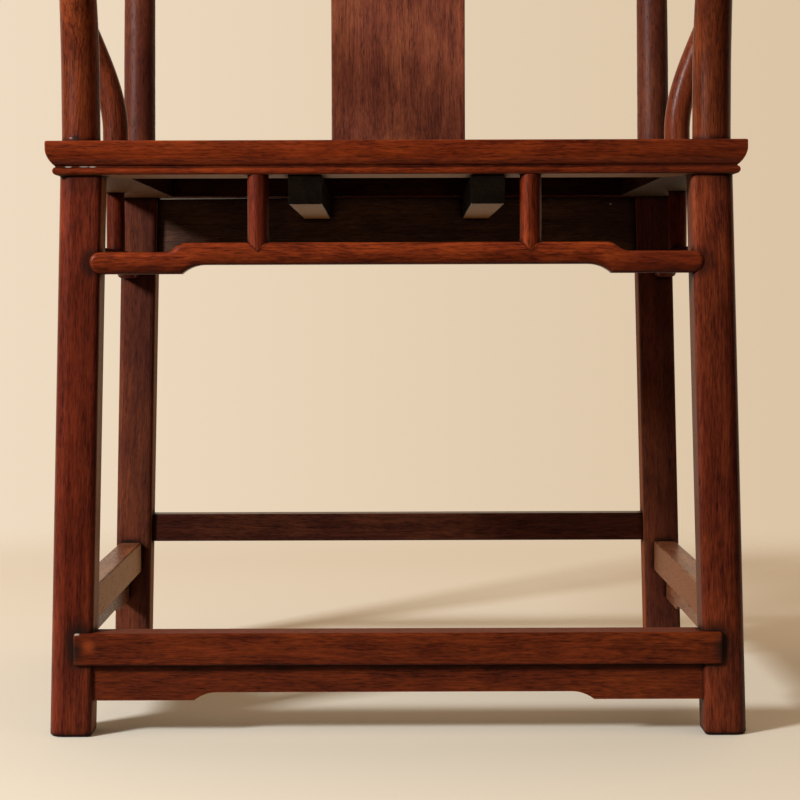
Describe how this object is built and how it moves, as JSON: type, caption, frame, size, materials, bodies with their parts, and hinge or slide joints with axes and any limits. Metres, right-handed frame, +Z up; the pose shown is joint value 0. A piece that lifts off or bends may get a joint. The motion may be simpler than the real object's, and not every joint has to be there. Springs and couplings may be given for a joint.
{
  "type": "yoke back armchair",
  "caption": "High-backed hardwood armchair with a yoke crest rail, S-shaped splat, curved arms, woven seat, humped stretchers and a footrest.",
  "frame": {"origin": "on the floor, under the centre of the bounding box", "axes": "+X to the right as seen from the front, +Y from the front to the back, +Z up from the floor; left and right in the names are those seen from the front"},
  "size_m": [0.664, 0.5755, 1.1353],
  "materials": {
    "frame_wood": "satin reddish-brown hardwood, straight grain",
    "splat_wood": "satin brown hardwood, fine vertical grain",
    "shaded_wood": "unpolished dark hardwood",
    "cane": "close woven cane, matt",
    "bamboo": "bare"
  },
  "bodies": {
    "root": {"armrest_left": "frame_wood", "armrest_right": "frame_wood", "back_apron": "shaded_wood", "back_leg_left": "frame_wood", "back_leg_right": "frame_wood", "back_stretcher": "frame_wood", "crest_rail": "frame_wood", "footrest": "frame_wood", "footrest_apron": "frame_wood", "front_hump_stretcher": "frame_wood", "front_leg_left": "frame_wood", "front_leg_right": "frame_wood", "front_strut_left": "frame_wood", "front_strut_right": "frame_wood", "mat_pegs": "bamboo", "mat_strip_back": "frame_wood", "mat_strip_front": "frame_wood", "mat_strip_left": "frame_wood", "mat_strip_right": "frame_wood", "seat_brace_left": "shaded_wood", "seat_brace_right": "shaded_wood", "seat_mat": "cane", "seat_rail_back": "frame_wood", "seat_rail_front": "frame_wood", "seat_rail_left": "frame_wood", "seat_rail_right": "frame_wood", "side_apron_left": "frame_wood", "side_apron_right": "frame_wood", "side_hump_stretcher_left": "frame_wood", "side_hump_stretcher_right": "frame_wood", "side_post_left": "frame_wood", "side_post_right": "frame_wood", "side_stretcher_left": "frame_wood", "side_stretcher_right": "frame_wood", "side_strut_back_left": "frame_wood", "side_strut_back_right": "frame_wood", "side_strut_front_left": "frame_wood", "side_strut_front_right": "frame_wood", "splat": "splat_wood"}
  },
  "joints": []
}
